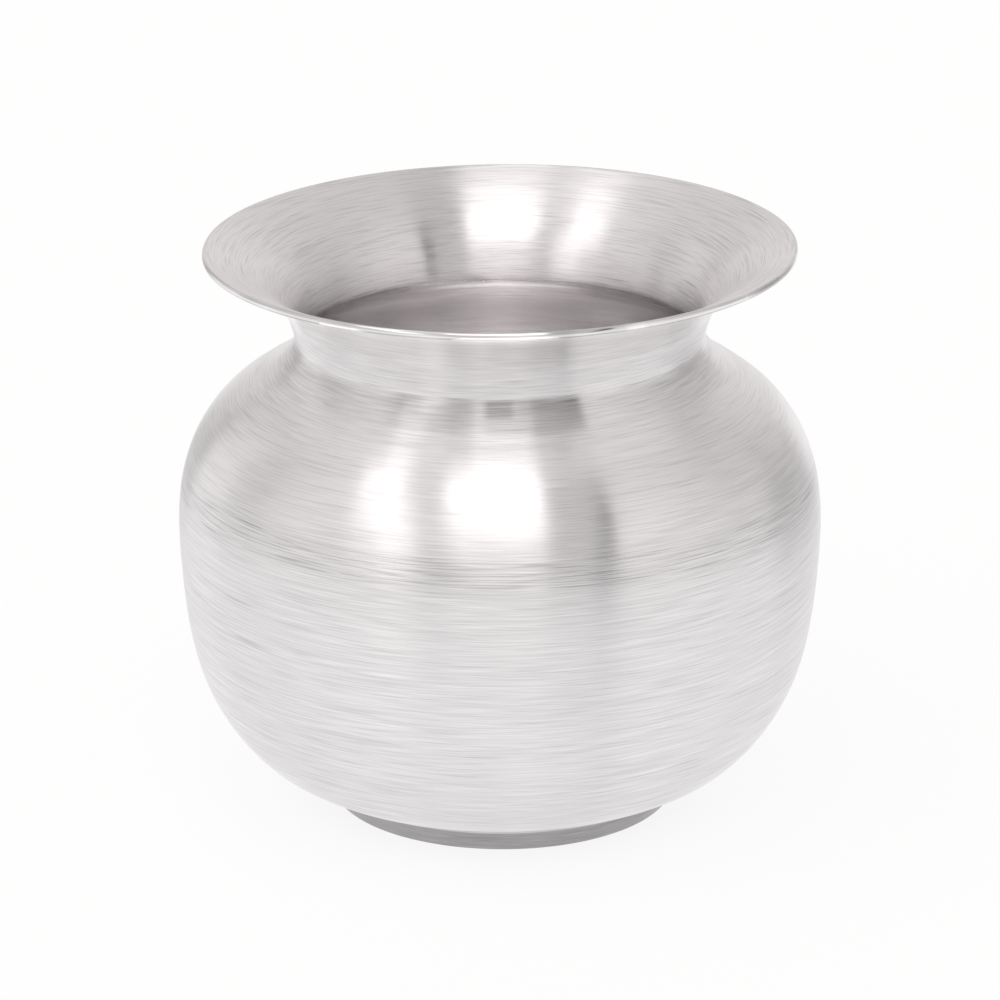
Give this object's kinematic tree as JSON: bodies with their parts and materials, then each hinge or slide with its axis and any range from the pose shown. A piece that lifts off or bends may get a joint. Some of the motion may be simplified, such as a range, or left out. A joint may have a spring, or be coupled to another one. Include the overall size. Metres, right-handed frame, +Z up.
{
  "type": "lota",
  "caption": "Round-bellied lota of brushed silver sheet with a short neck, a wide flared mouth and a low tapered foot ring, for holding and pouring water.",
  "frame": {"origin": "on the pot's axis, in the plane that the foot ring rests on", "axes": "+Z up along the axis, out of the mouth; the pot is round, so +X and +Y are free, with the pictured side facing -Y"},
  "size_m": [0.11, 0.11, 0.0982],
  "materials": {
    "silver_sheet": "silver sheet brushed round the axis with fine circular lines, satin to bright",
    "silver_foot": "silver strip brushed round the axis, satin",
    "silver_solder": "silver solder scraped flush with the sheet"
  },
  "bodies": {
    "root": {"bowl": "silver_sheet", "shoulder": "silver_sheet", "mouth_neck": "silver_sheet", "foot_ring": "silver_foot", "belly_seam_solder": "silver_solder", "neck_seam_solder": "silver_solder", "foot_seam_solder": "silver_solder"}
  },
  "joints": []
}
